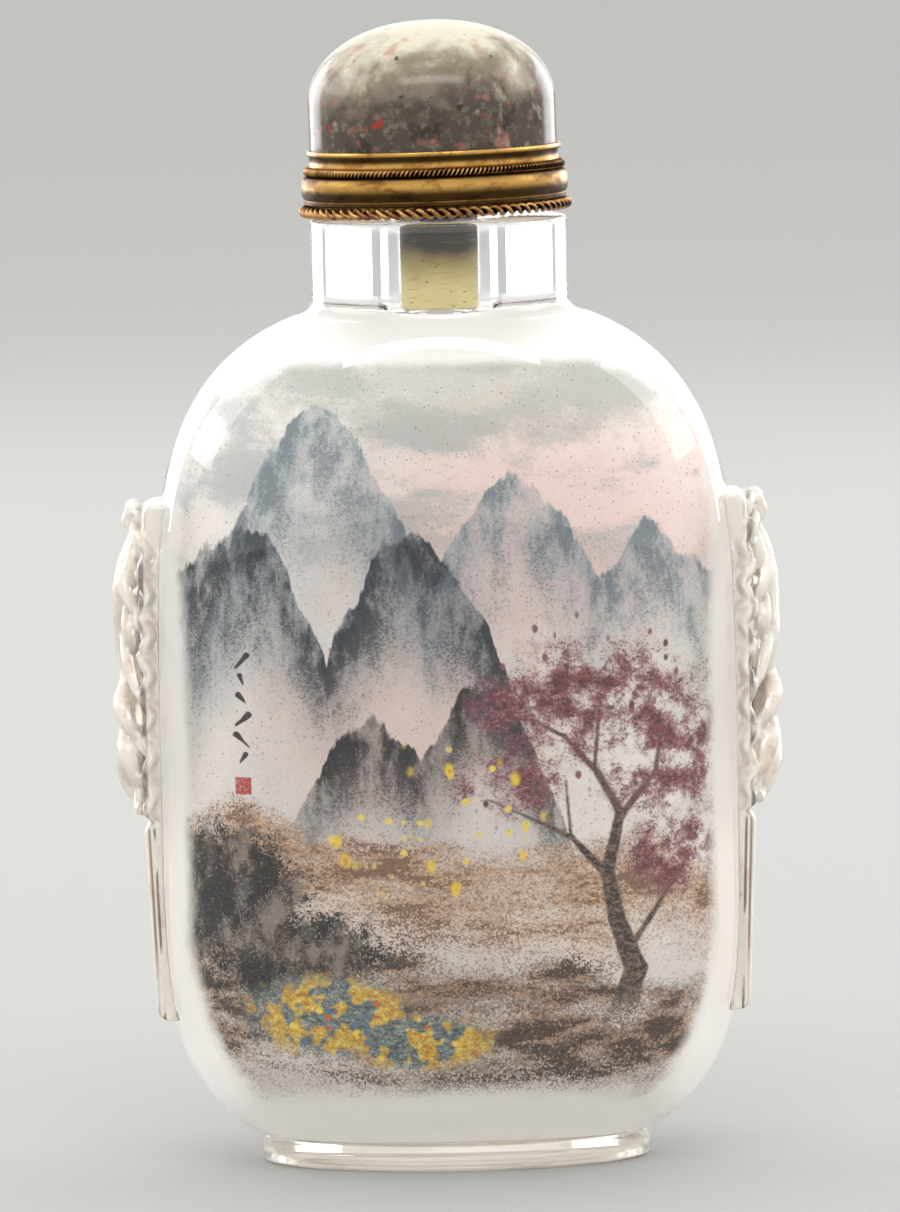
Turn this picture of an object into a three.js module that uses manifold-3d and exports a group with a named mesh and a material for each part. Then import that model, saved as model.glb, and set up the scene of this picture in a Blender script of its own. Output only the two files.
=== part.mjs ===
// Flattened crystal snuff bottle with carved sides and a domed stone stopper.
// Millimetres, +Z up, +X along the wide side, origin on the table under the middle of the foot.
// The bottle is hollow: a wide cavity opens upwards through a narrow round bore in the neck.
// The stopper is a stone dome in a brass cup trimmed with two twisted wires, with a cork below.

import * as THREE from 'three';
import { mergeVertices } from 'three/addons/utils/BufferGeometryUtils.js';
import Module from 'manifold-3d';

// Crystal body
const BODY_HALF_WIDTH = 22.35;
const BODY_HALF_DEPTH = 13.5;
const BODY_PLAN_POWER = 2.6;       // superellipse power of the horizontal outline
const WAIST_Z = 33;                // height of the widest outline
const SHOULDER_REACH = 33.3;       // from the widest outline to where the shoulder would close
const SHOULDER_RISE_POWER = 4.05;
const SHOULDER_WIDTH_POWER = 2.55;
const SHOULDER_DEPTH_POWER = 6.45;
const BELLY_REACH = 34.15;         // from the widest outline down to where the belly would close
const BELLY_DROP_POWER = 5.55;
const BELLY_WIDTH_POWER = 2.09;
const BELLY_DEPTH_POWER = 1.83;

// Foot ring
const FOOT_HEIGHT = 2.3;
const FOOT_HALF_WIDTH = 14.85;
const FOOT_HALF_DEPTH = 8.4;
const FOOT_EDGE = 0.35;            // rounding of the foot's outer corners
const FOOT_RING_WIDTH = 2.2;
const FOOT_RECESS = 0.9;

// Neck and bore
const NECK_RADIUS = 9.8;
const NECK_FOOT_Z = 65.3;
const NECK_FILLET = 0.9;
const NECK_TOP_Z = 72.2;
const RIM_EDGE = 0.3;
const BORE_RADIUS = 3.07;

// Cavity
const CAVITY_HALF_WIDTH = 18.6;
const CAVITY_HALF_DEPTH = 10.4;
const CAVITY_TOP_REACH = 31.6;
const CAVITY_TOP_RISE_POWER = 4.2;
const CAVITY_TOP_WIDTH_POWER = 2.3;
const CAVITY_FLOOR_REACH = 28.2;
const CAVITY_FLOOR_RISE_POWER = 8;
const CAVITY_FLOOR_WIDTH_POWER = 2.8;

// Raised panel on each narrow side
const PANEL_ROOT_X = 20;
const PANEL_HALF_WIDTH = 4.2;
const PANEL_BOTTOM_Z = 11.4;
const PANEL_TOP_Z = 50.9;
const PANEL_BAR_TOP_Z = 25.5;      // the plain bar runs up to here
const PANEL_FOOT_X = 22.7;
const PANEL_FACE_X = 23.35;
const PANEL_PLAN_POWER = 7;
const PANEL_END_ROUND = 0.7;
const TIP_REACH = 0.6;             // how far a carved limb's end stands out, in its own radii

// Stopper
const STOPPER_TILT = THREE.MathUtils.degToRad(1);
const STOPPER_SHIFT = -0.2;
const SEAT_Z = 72.95;              // middle height of the lower wire, where the stopper tilts
const DOME_RADIUS = 9.43;
const DOME_BASE_Z = 77.85;
const DOME_SPRING_Z = 81;          // the straight wall ends and the dome begins
const DOME_TOP_Z = 87.15;
const SPIGOT_RADIUS = 8.3;         // the dome's root inside the cup
const SPIGOT_BASE_Z = 74.2;
const CUP_BASE_Z = 72.75;
const CUP_FLOOR_Z = 73.9;
const CUP_BORE_RADIUS = 8.6;
const CUP_LIP_RADIUS = 9.68;
const CUP_TOP_Z = 77.55;
const BULGE_RADIUS = 10.15;
const BULGE_BOTTOM_Z = 73.65;
const BULGE_TOP_Z = 75.45;
const LOWER_WIRE_RADIUS = 0.42;
const LOWER_WIRE_RING = 9.96;
const LOWER_WIRE_STRANDS = 76;
const UPPER_WIRE_RADIUS = 0.3;
const UPPER_WIRE_RING = 9.67;
const UPPER_WIRE_Z = 75.95;
const FIT_GAP = 0.3;
const CORK_TOP_RADIUS = 2.72;
const CORK_TIP_RADIUS = 2.62;
const CORK_TIP_Z = 65;
const CORK_EDGE = 0.25;

// Facets
const BODY_SEGMENTS = 44;
const BODY_RINGS = 8;
const CAVITY_RINGS = 6;
const CAVITY_FLOOR_STOP = 0.2;
const PANEL_SEGMENTS = 20;
const LATHE_SEGMENTS = 40;
const DOME_ARC_STEPS = 6;
const BULGE_STEPS = 5;
const UPPER_WIRE_SIDES = 6;
const DRAGON_BODY_STEPS = 25;
const DRAGON_BODY_SIDES = 8;
const DRAGON_LIMB_STEPS = 4;
const DRAGON_LIMB_SIDES = 6;

const wasm = await Module();
wasm.setup();

// Superellipse point at a given turn: power 2 is an ellipse, higher powers are squarer.
function superellipse(turn, halfX, halfY, power) {
  const c = Math.cos(turn);
  const s = Math.sin(turn);
  return [
    halfX * Math.sign(c) * Math.abs(c) ** (2 / power),
    halfY * Math.sign(s) * Math.abs(s) ** (2 / power),
  ];
}

function geometryFrom(positions, triangles) {
  const geometry = new THREE.BufferGeometry();
  geometry.setAttribute('position', new THREE.Float32BufferAttribute(positions, 3));
  geometry.setIndex(triangles);
  return geometry;
}

// Closed skin over a stack of horizontal outlines, each { z, halfX, halfY, power, x }.
// The first and last outlines are closed by a fan to their own middle.
function loft(rings, segments) {
  const positions = [];
  const triangles = [];
  for (const { z, halfX, halfY, power = 2, x = 0 } of rings) {
    for (let i = 0; i < segments; i += 1) {
      const [px, py] = superellipse((i * 2 * Math.PI) / segments, halfX, halfY, power);
      positions.push(x + px, py, z);
    }
  }
  for (let r = 0; r + 1 < rings.length; r += 1) {
    for (let i = 0; i < segments; i += 1) {
      const a = r * segments + i;
      const b = r * segments + ((i + 1) % segments);
      triangles.push(a, b, b + segments, a, b + segments, a + segments);
    }
  }
  const first = rings[0];
  const last = rings.at(-1);
  const firstMiddle = positions.length / 3;
  positions.push(first.x ?? 0, 0, first.z);
  positions.push(last.x ?? 0, 0, last.z);
  const lastStart = (rings.length - 1) * segments;
  for (let i = 0; i < segments; i += 1) {
    const next = (i + 1) % segments;
    triangles.push(firstMiddle, next, i);
    triangles.push(firstMiddle + 1, lastStart + i, lastStart + next);
  }
  return geometryFrom(positions, triangles);
}

// Share of the full half-width left at a height, between 1 at the waist and 0 at the reach.
function taper(distance, reach, risePower, outPower) {
  return (1 - (distance / reach) ** risePower) ** (1 / outPower);
}

function bodyRing(z) {
  const above = z > WAIST_Z;
  const distance = Math.abs(z - WAIST_Z);
  const reach = above ? SHOULDER_REACH : BELLY_REACH;
  const rise = above ? SHOULDER_RISE_POWER : BELLY_DROP_POWER;
  const wide = taper(distance, reach, rise, above ? SHOULDER_WIDTH_POWER : BELLY_WIDTH_POWER);
  const deep = taper(distance, reach, rise, above ? SHOULDER_DEPTH_POWER : BELLY_DEPTH_POWER);
  return {
    z,
    halfX: BODY_HALF_WIDTH * wide,
    halfY: BODY_HALF_DEPTH * deep,
    power: 2 + (BODY_PLAN_POWER - 2) * wide,
  };
}

function circleRing(z, radius) {
  return { z, halfX: radius, halfY: radius };
}

// Underside recess, foot ring and the step up to the belly
function footRings() {
  const foot = (z, inset) => ({
    z,
    halfX: FOOT_HALF_WIDTH - inset,
    halfY: FOOT_HALF_DEPTH - inset,
  });
  return [
    foot(FOOT_RECESS, FOOT_RING_WIDTH + FOOT_EDGE),
    foot(0, FOOT_RING_WIDTH),
    foot(0, FOOT_EDGE),
    foot(FOOT_EDGE, 0),
    foot(FOOT_HEIGHT - FOOT_EDGE, 0),
    foot(FOOT_HEIGHT, FOOT_EDGE),
  ];
}

// Heights close up towards the foot and the neck, where the outline turns fastest.
function bodyRings() {
  const rings = [];
  const lowest = WAIST_Z - FOOT_HEIGHT - FOOT_EDGE;
  const highest = NECK_FOOT_Z - NECK_FILLET - WAIST_Z;
  for (let i = BODY_RINGS; i >= 1; i -= 1) {
    rings.push(bodyRing(WAIST_Z - lowest * Math.sin((i / BODY_RINGS) * (Math.PI / 2))));
  }
  for (let i = 0; i <= BODY_RINGS; i += 1) {
    rings.push(bodyRing(WAIST_Z + highest * Math.sin((i / BODY_RINGS) * (Math.PI / 2))));
  }
  return rings;
}

function neckRings() {
  return [
    circleRing(NECK_FOOT_Z, NECK_RADIUS + NECK_FILLET / 2),
    circleRing(NECK_FOOT_Z + NECK_FILLET, NECK_RADIUS),
    circleRing(NECK_TOP_Z - RIM_EDGE, NECK_RADIUS),
    circleRing(NECK_TOP_Z, NECK_RADIUS - RIM_EDGE),
    circleRing(NECK_TOP_Z, BORE_RADIUS + RIM_EDGE),
    circleRing(NECK_TOP_Z - RIM_EDGE, BORE_RADIUS),
  ];
}

// From the bore's lower end outwards under the shoulder and down to the cavity's floor
function cavityRings() {
  const ring = (z, share) => ({
    z,
    halfX: Math.max(CAVITY_HALF_WIDTH * share, BORE_RADIUS),
    halfY: Math.max(CAVITY_HALF_DEPTH * share, BORE_RADIUS),
    power: 2 + (BODY_PLAN_POWER - 2) * share,
  });
  const rings = [];
  for (let i = CAVITY_RINGS; i >= 0; i -= 1) {
    const rise = CAVITY_TOP_REACH * Math.sin((i / CAVITY_RINGS) * (Math.PI / 2));
    const share = taper(rise, CAVITY_TOP_REACH, CAVITY_TOP_RISE_POWER, CAVITY_TOP_WIDTH_POWER);
    rings.push(ring(WAIST_Z + rise, share));
  }
  for (let i = 1; i <= CAVITY_RINGS; i += 1) {
    const drop = CAVITY_FLOOR_REACH * Math.sin((i / (CAVITY_RINGS + CAVITY_FLOOR_STOP)) * (Math.PI / 2));
    const share = taper(
      drop, CAVITY_FLOOR_REACH, CAVITY_FLOOR_RISE_POWER, CAVITY_FLOOR_WIDTH_POWER,
    );
    rings.push(ring(WAIST_Z - drop, share));
  }
  return rings;
}

function vesselGeometry() {
  return loft([...footRings(), ...bodyRings(), ...neckRings(), ...cavityRings()], BODY_SEGMENTS);
}

// Raised strip from the belly to the shoulder with rounded ends; its lower third is a plain bar.
function panelGeometry() {
  const slab = (z, faceX, inset) => ({
    z,
    x: (PANEL_ROOT_X + faceX) / 2,
    halfX: (faceX - PANEL_ROOT_X) / 2,
    halfY: PANEL_HALF_WIDTH - inset,
    power: PANEL_PLAN_POWER,
  });
  return loft([
    slab(PANEL_BOTTOM_Z, PANEL_FOOT_X - PANEL_END_ROUND, PANEL_END_ROUND),
    slab(PANEL_BOTTOM_Z + PANEL_END_ROUND, PANEL_FOOT_X, 0),
    slab(PANEL_BAR_TOP_Z, PANEL_FACE_X, 0),
    slab(PANEL_TOP_Z - PANEL_END_ROUND, PANEL_FACE_X, 0),
    slab(PANEL_TOP_Z, PANEL_FACE_X - PANEL_END_ROUND, PANEL_END_ROUND),
  ], PANEL_SEGMENTS);
}

// Round limb along stations of [across, up, out, radius], closed to a point at both ends.
function limbGeometry(stations, steps, sides) {
  const path = new THREE.CatmullRomCurve3(
    stations.map(([across, up, out]) => new THREE.Vector3(out, across, up)),
  );
  const girth = new THREE.CatmullRomCurve3(
    stations.map(([, , , radius], i) => new THREE.Vector3(i, radius, 0)),
  );
  const frames = path.computeFrenetFrames(steps, false);
  const positions = [];
  const triangles = [];
  for (let s = 0; s <= steps; s += 1) {
    const centre = path.getPoint(s / steps);
    const radius = girth.getPoint(s / steps).y;
    for (let i = 0; i < sides; i += 1) {
      const turn = (i * 2 * Math.PI) / sides;
      const point = centre.clone();
      point.addScaledVector(frames.normals[s], radius * Math.cos(turn));
      point.addScaledVector(frames.binormals[s], radius * Math.sin(turn));
      positions.push(point.x, point.y, point.z);
    }
  }
  const tips = [[0, -1], [1, 1]].map(([t, sign]) => {
    const reach = sign * TIP_REACH * girth.getPoint(t).y;
    return path.getPoint(t).addScaledVector(path.getTangent(t), reach);
  });
  for (const tip of tips) {
    positions.push(tip.x, tip.y, tip.z);
  }
  const startTip = (steps + 1) * sides;
  for (let i = 0; i < sides; i += 1) {
    const next = (i + 1) % sides;
    for (let s = 0; s < steps; s += 1) {
      const a = s * sides + i;
      const b = s * sides + next;
      triangles.push(a, b, b + sides, a, b + sides, a + sides);
    }
    triangles.push(startTip, next, i);
    triangles.push(startTip + 1, steps * sides + i, steps * sides + next);
  }
  return geometryFrom(positions, triangles);
}

// The dragon climbs the panel: head at the top, body in an S, tail curled back at the bottom.
function dragonGeometries() {
  const body = [
    [0, 50.2, 23.2, 0.8],
    [0, 48.6, 23.1, 0.9],
    [0.6, 46.6, 23.7, 1.2],
    [0.9, 44.2, 24.2, 1.2],
    [0.2, 42, 24.3, 1.15],
    [-0.8, 39.8, 24.2, 1.2],
    [-0.7, 37.4, 23.9, 1.15],
    [0.3, 35.4, 24.3, 1.25],
    [0.9, 33.6, 24, 1.2],
    [0.6, 31.8, 24.25, 1.2],
    [-0.5, 29.9, 24.1, 1.25],
    [-0.8, 28.3, 23.6, 1],
    [0.2, 27.4, 23.2, 0.6],
  ];
  const head = [
    [-0.8, 50.3, 23.45, 0.65],
    [0, 50.1, 23.75, 0.75],
    [0.8, 50.3, 23.45, 0.65],
  ];
  const foreleg = [[1, 46.4, 24.1, 0.75], [2.6, 45, 24.3, 0.75], [3.2, 43, 23.5, 0.7]];
  const hindLeg = [[0.8, 36.4, 24.3, 0.9], [2.5, 35.6, 24.4, 0.85], [3.1, 33.4, 23.6, 0.75]];
  const otherSide = (stations) => stations.map(([across, ...rest]) => [-across, ...rest]);
  const limbs = [foreleg, otherSide(foreleg), hindLeg, otherSide(hindLeg)];
  return [
    limbGeometry(body, DRAGON_BODY_STEPS, DRAGON_BODY_SIDES),
    limbGeometry(head, DRAGON_LIMB_STEPS, DRAGON_BODY_SIDES),
    ...limbs.map((stations) => limbGeometry(stations, DRAGON_LIMB_STEPS, DRAGON_LIMB_SIDES)),
  ];
}

function toSolid(geometry) {
  const bare = geometry.clone();
  bare.deleteAttribute('normal');
  bare.deleteAttribute('uv');
  const merged = mergeVertices(bare);
  return new wasm.Manifold(new wasm.Mesh({
    numProp: 3,
    vertProperties: merged.attributes.position.array,
    triVerts: new Uint32Array(merged.index.array),
  }));
}

function toGeometry(solid) {
  const { vertProperties, triVerts } = solid.getMesh();
  const geometry = geometryFrom(vertProperties, [...triVerts]);
  geometry.computeVertexNormals();
  return geometry;
}

// Vessel and carved sides are one piece of crystal.
function bottleGeometry() {
  const carving = [panelGeometry(), ...dragonGeometries()];
  let solid = toSolid(vesselGeometry());
  for (const geometry of carving) {
    const otherSide = geometry.clone().rotateZ(Math.PI);
    solid = solid.add(toSolid(geometry)).add(toSolid(otherSide));
  }
  return toGeometry(solid);
}

// Turns a profile of [radius, z] points round the Z axis.
function turned(profile) {
  const points = profile.map(([radius, z]) => new THREE.Vector2(radius, z));
  return new THREE.LatheGeometry(points, LATHE_SEGMENTS).rotateX(Math.PI / 2);
}

function domeGeometry() {
  const profile = [
    [0, SPIGOT_BASE_Z],
    [SPIGOT_RADIUS, SPIGOT_BASE_Z],
    [SPIGOT_RADIUS, DOME_BASE_Z],
    [DOME_RADIUS, DOME_BASE_Z],
  ];
  for (let i = 0; i <= DOME_ARC_STEPS; i += 1) {
    const turn = (i / DOME_ARC_STEPS) * (Math.PI / 2);
    const radius = i === DOME_ARC_STEPS ? 0 : DOME_RADIUS * Math.cos(turn);
    profile.push([radius, DOME_SPRING_Z + (DOME_TOP_Z - DOME_SPRING_Z) * Math.sin(turn)]);
  }
  return turned(profile);
}

function collarGeometry() {
  const lowerGroove = LOWER_WIRE_RING - LOWER_WIRE_RADIUS - FIT_GAP;
  const upperGroove = UPPER_WIRE_RING - UPPER_WIRE_RADIUS - FIT_GAP;
  const profile = [
    [0, CUP_BASE_Z],
    [lowerGroove, CUP_BASE_Z],
    [lowerGroove, BULGE_BOTTOM_Z],
  ];
  for (let i = 1; i <= BULGE_STEPS; i += 1) {
    const share = i / BULGE_STEPS;
    const swell = Math.sqrt(Math.max(Math.sin(share * Math.PI), 0));
    const z = BULGE_BOTTOM_Z + (BULGE_TOP_Z - BULGE_BOTTOM_Z) * share;
    profile.push([upperGroove + (BULGE_RADIUS - upperGroove) * swell, z]);
  }
  profile.push(
    [upperGroove, UPPER_WIRE_Z + UPPER_WIRE_RADIUS + FIT_GAP],
    [CUP_LIP_RADIUS, UPPER_WIRE_Z + UPPER_WIRE_RADIUS + FIT_GAP],
    [CUP_LIP_RADIUS, CUP_TOP_Z],
    [CUP_BORE_RADIUS, CUP_TOP_Z],
    [CUP_BORE_RADIUS, CUP_FLOOR_Z],
    [0, CUP_FLOOR_Z],
  );
  return turned(profile);
}

// Square wire bent into a ring and twisted a quarter turn per strand, in 19 whole turns, so that
// its end meets its start.
function twistedWireGeometry() {
  const sides = 4;
  const stepsPerStrand = 2;
  const steps = LOWER_WIRE_STRANDS * stepsPerStrand;
  const twist = (2 * Math.PI) / sides / stepsPerStrand;
  const positions = [];
  const triangles = [];
  for (let s = 0; s < steps; s += 1) {
    const around = (s * 2 * Math.PI) / steps;
    for (let i = 0; i < sides; i += 1) {
      const turn = (i * 2 * Math.PI) / sides + s * twist;
      const ring = LOWER_WIRE_RING + LOWER_WIRE_RADIUS * Math.cos(turn);
      positions.push(ring * Math.cos(around), ring * Math.sin(around),
        SEAT_Z + LOWER_WIRE_RADIUS * Math.sin(turn));
    }
  }
  for (let s = 0; s < steps; s += 1) {
    const start = s * sides;
    const following = ((s + 1) % steps) * sides;
    for (let i = 0; i < sides; i += 1) {
      const j = (i + 1) % sides;
      triangles.push(start + i, following + j, start + j);
      triangles.push(start + i, following + i, following + j);
    }
  }
  return geometryFrom(positions, triangles);
}

function upperWireGeometry() {
  const ring = new THREE.TorusGeometry(
    UPPER_WIRE_RING,
    UPPER_WIRE_RADIUS,
    UPPER_WIRE_SIDES,
    LATHE_SEGMENTS,
  );
  return ring.translate(0, 0, UPPER_WIRE_Z);
}

function corkGeometry() {
  const corkTopZ = CUP_BASE_Z - FIT_GAP;
  return turned([
    [0, CORK_TIP_Z],
    [CORK_TIP_RADIUS - CORK_EDGE, CORK_TIP_Z],
    [CORK_TIP_RADIUS, CORK_TIP_Z + CORK_EDGE],
    [CORK_TOP_RADIUS, corkTopZ],
    [0, corkTopZ],
  ]);
}

function named(name, geometry, color, roughness, metalness) {
  const material = new THREE.MeshStandardMaterial({ color, roughness, metalness });
  const mesh = new THREE.Mesh(geometry, material);
  mesh.name = name;
  return mesh;
}

const crystal = named('bottle', bottleGeometry(), '#eef2f0', 0.05, 0);
crystal.material.transparent = true;
crystal.material.opacity = 0.35;

// The stopper stands a little askew on the neck, so its pieces share one tilted group.
const stopper = new THREE.Group();
stopper.position.set(STOPPER_SHIFT, 0, SEAT_Z);
stopper.rotation.y = -STOPPER_TILT;
for (const mesh of [
  named('cork_plug', corkGeometry(), '#c9b183', 0.9, 0),
  named('collar', collarGeometry(), '#b8892f', 0.35, 1),
  named('upper_rope_wire', upperWireGeometry(), '#8a6a2c', 0.4, 1),
  named('lower_rope_wire', twistedWireGeometry(), '#9c6f38', 0.4, 1),
  named('stopper_dome', domeGeometry(), '#9c9384', 0.15, 0),
]) {
  mesh.position.z = -SEAT_Z;
  stopper.add(mesh);
}

const snuffBottle = new THREE.Group();
snuffBottle.add(crystal, stopper);

export default snuffBottle;
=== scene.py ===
"""Looks of a crystal snuff bottle painted on its inner wall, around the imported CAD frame."""

import math

import bmesh
import bpy
import numpy as np
from mathutils import Matrix, Vector


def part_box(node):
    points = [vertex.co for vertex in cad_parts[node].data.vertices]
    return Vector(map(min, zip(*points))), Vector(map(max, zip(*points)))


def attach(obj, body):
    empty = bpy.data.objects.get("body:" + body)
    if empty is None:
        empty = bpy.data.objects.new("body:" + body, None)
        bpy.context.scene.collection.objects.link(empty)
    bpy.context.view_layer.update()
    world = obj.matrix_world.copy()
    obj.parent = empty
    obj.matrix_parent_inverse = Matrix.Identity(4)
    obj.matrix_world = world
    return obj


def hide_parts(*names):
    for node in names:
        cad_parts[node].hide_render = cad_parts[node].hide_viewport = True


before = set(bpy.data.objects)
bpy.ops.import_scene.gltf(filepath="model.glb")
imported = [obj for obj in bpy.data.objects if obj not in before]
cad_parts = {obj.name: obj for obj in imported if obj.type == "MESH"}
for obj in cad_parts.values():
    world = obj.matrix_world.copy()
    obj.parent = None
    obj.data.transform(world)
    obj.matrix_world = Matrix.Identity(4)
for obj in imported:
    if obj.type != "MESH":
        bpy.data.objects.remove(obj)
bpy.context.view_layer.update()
MM = 0.001  # metres in a millimetre

# Driving sizes of the bottle, in millimetres: those of the CAD solids, with finer edges and fillets
BODY_HALF_WIDTH = 22.35
BODY_HALF_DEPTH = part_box("bottle")[1][1] / MM
BODY_PLAN_POWER = 2.6
WAIST_Z = 33
SHOULDER_REACH, SHOULDER_RISE = 33.3, 4.05
SHOULDER_WIDTH_POWER, SHOULDER_DEPTH_POWER = 2.55, 6.45
BELLY_REACH, BELLY_DROP = 34.15, 5.55
BELLY_WIDTH_POWER, BELLY_DEPTH_POWER = 2.09, 1.83
FOOT_HEIGHT = 2.3
FOOT_HALF_WIDTH, FOOT_HALF_DEPTH = 14.85, 8.4
FOOT_RING_WIDTH, FOOT_RECESS = 2.2, 0.9
FOOT_EDGE = 0.45  # rounding of the foot ring's corners
RECESS_CORNER, RECESS_FLAT = 0.7, 4  # the recess inside the foot ring: its round corner, then its flat
FOOT_CREASE = 0.12  # the belly starts this far above the foot ring
NECK_RADIUS = 9.8
NECK_FOOT_Z = 64.75
NECK_FILLET, NECK_FILLET_PULL = 1.3, 0.3  # height of the fillet, and how soon it turns upwards
RIM_EDGE = 0.45
NECK_TOP_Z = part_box("bottle")[1][2] / MM
BORE_RADIUS = 3.07
CAVITY_HALF_WIDTH, CAVITY_HALF_DEPTH = 18.6, 10.4
CAVITY_TOP_REACH, CAVITY_TOP_RISE, CAVITY_TOP_POWER = 31.6, 4.2, 2.3
CAVITY_FLOOR_REACH, CAVITY_FLOOR_RISE, CAVITY_FLOOR_POWER = 28.2, 8, 2.8
PANEL_HALF_WIDTH = 4.2
PANEL_ROOT_X = 20
PANEL_BOTTOM_Z, PANEL_TOP_Z, PANEL_BAR_TOP_Z = 11.4, 50.9, 26.0
PANEL_FOOT_X, PANEL_BAR_X, PANEL_GROUND_X = 22.7, 23.35, 23.0
PANEL_FOOT_EDGE_X, PANEL_TOP_EDGE_X = 21.6, 22.2
PANEL_FOOT_ROUND, PANEL_TOP_ROUND, PANEL_BAR_STEP = 0.9, 0.8, 0.6
# the bar's two streaks are painted reflections
BAR_STREAK_X, BAR_LEAN = 21.45, 0.035  # where the bar's streaks would meet the floor, and their slope
PANEL_PLAN_POWER, PANEL_SEGMENTS = 9, 40
CARVING_BELOW, CARVING_ABOVE = 0.3, 1.5  # how far the carving may pass the panel's ends
FILM_OUTER, FILM_INNER = 0.06, 0.02  # how deep the film's two faces lie in the crystal
FILM_FLOOR_SINK = 0.04  # how much lower its outer face is at the cavity's floor

# The stopper leans a little, about the middle of its lower wire
STOPPER_LEAN = math.radians(1)
STOPPER_SHIFT = -0.2
SEAT_Z = 72.95
DOME_RADIUS = 9.43
DOME_SPRING_Z = 81
DOME_TOP_Z = 87.15
LIP_RADIUS = 9.68
LIP_TOP_Z = 77.55
BULGE_RADIUS, BULGE_ROOT_RADIUS = 10.15, 9.86
BULGE_BOTTOM_Z, BULGE_HEIGHT = 73.85, 1.7
COLLAR_FAN_RADIUS, COLLAR_FOOT_Z, COLLAR_FLOOR_Z = 3.2, 72.75, 76.3
LOWER_WIRE_RING, LOWER_WIRE_RADIUS, LOWER_WIRE_CROSSINGS = 9.96, 0.42, 76
UPPER_WIRE_RING, UPPER_WIRE_RADIUS, UPPER_WIRE_CROSSINGS, UPPER_WIRE_Z = 9.67, 0.3, 176, 75.95
CORK_RADIUS, CORK_TIP_Z, CORK_TOP_Z = 2.98, 65.0, 72.6
# bands of painted shade up the collar
COLLAR_SHADE_BANDS = ((73.6, 0.3), (74.2, 0.6), (75.75, 0.55), (76.95, 0.35))  # (middle, reach) up the collar


# ---------------------------------------------------------------- camera

CAMERA_DISTANCE = 0.70
CAMERA_ELEVATION = math.radians(5.4)
CAMERA_ROLL = math.radians(-1.15)
CAMERA_AIM = Vector((0.0003, 0, 0.0424))
VIEW_HEIGHT = 0.0926  # height of the frame at the bottle
SENSOR = 36


def add_camera():
    data = bpy.data.cameras.new("camera")
    data.sensor_width = SENSOR
    data.lens = SENSOR * CAMERA_DISTANCE / VIEW_HEIGHT
    data.clip_start, data.clip_end = 0.05, 60
    camera = bpy.data.objects.new("camera", data)
    bpy.context.scene.collection.objects.link(camera)
    back = Vector((0, -math.cos(CAMERA_ELEVATION), math.sin(CAMERA_ELEVATION)))
    turn = (-back).to_track_quat("-Z", "Y").to_matrix().to_4x4()
    place = Matrix.Translation(CAMERA_AIM + back * CAMERA_DISTANCE)
    camera.matrix_world = place @ turn @ Matrix.Rotation(CAMERA_ROLL, 4, "Z")
    bpy.context.scene.camera = camera


# ---------------------------------------------------------------- meshes

def mesh_object(name, points, faces, smooth=True):
    """A new object from points in millimetres."""
    mesh = bpy.data.meshes.new(name)
    mesh.from_pydata([tuple(p) for p in np.asarray(points) * MM], [], faces)
    mesh.validate()
    if smooth:
        mesh.shade_smooth()
    piece = bpy.data.objects.new(name, mesh)
    bpy.context.scene.collection.objects.link(piece)
    return piece


def outline(half_x, half_y, power, segments):
    """Superellipse points: power 2 is an ellipse, higher powers are squarer."""
    turns = np.arange(segments) * 2 * math.pi / segments
    c, s = np.cos(turns), np.sin(turns)
    return np.column_stack([
        half_x * np.sign(c) * np.abs(c) ** (2 / power),
        half_y * np.sign(s) * np.abs(s) ** (2 / power),
    ])


def skin(loops):
    """Points and faces over a stack of equal loops of points, with a fan over each end."""
    count = len(loops[0])
    points = [p for loop in loops for p in loop]
    faces = []
    for row in range(len(loops) - 1):
        for i in range(count):
            a, b = row * count + i, row * count + (i + 1) % count
            faces.append((a, b, b + count, a + count))
    for loop, start, flip in ((loops[0], 0, True), (loops[-1], len(points) - count, False)):
        middle = len(points)
        points.append(np.mean(loop, axis=0))
        for i in range(count):
            a, b = start + i, start + (i + 1) % count
            faces.append((middle, b, a) if flip else (middle, a, b))
    return points, faces


def stacked(rings, segments):
    """Loops for a stack of rings, each (z, half_x, half_y, power)."""
    loops = []
    for z, half_x, half_y, power in rings:
        flat = outline(half_x, half_y, power, segments)
        loops.append(np.column_stack([flat, np.full(segments, z)]))
    return loops


def turned(profile, segments):
    """Loops for a profile of (radius, z) turned round the Z axis."""
    return stacked([(z, radius, radius, 2) for radius, z in profile], segments)


def bend(start, corner, end, steps):
    """Points on the round corner from start to end."""
    a, b, c = (np.array(p, float) for p in (start, corner, end))
    along = np.linspace(0, 1, steps + 1)[:, None]
    points = (1 - along) ** 2 * a + 2 * along * (1 - along) * b + along ** 2 * c
    return [tuple(point) for point in points]


def taper(distance, reach, rise, power):
    """Share of the full half-width left at a distance from the widest outline."""
    return max(1 - (distance / reach) ** rise, 0) ** (1 / power)


# ---------------------------------------------------------------- crystal vessel

def body_ring(z):
    above = z > WAIST_Z
    distance = abs(z - WAIST_Z)
    reach, rise = (SHOULDER_REACH, SHOULDER_RISE) if above else (BELLY_REACH, BELLY_DROP)
    wide = taper(distance, reach, rise, SHOULDER_WIDTH_POWER if above else BELLY_WIDTH_POWER)
    deep = taper(distance, reach, rise, SHOULDER_DEPTH_POWER if above else BELLY_DEPTH_POWER)
    return (z, BODY_HALF_WIDTH * wide, BODY_HALF_DEPTH * deep, 2 + (BODY_PLAN_POWER - 2) * wide)


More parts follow.
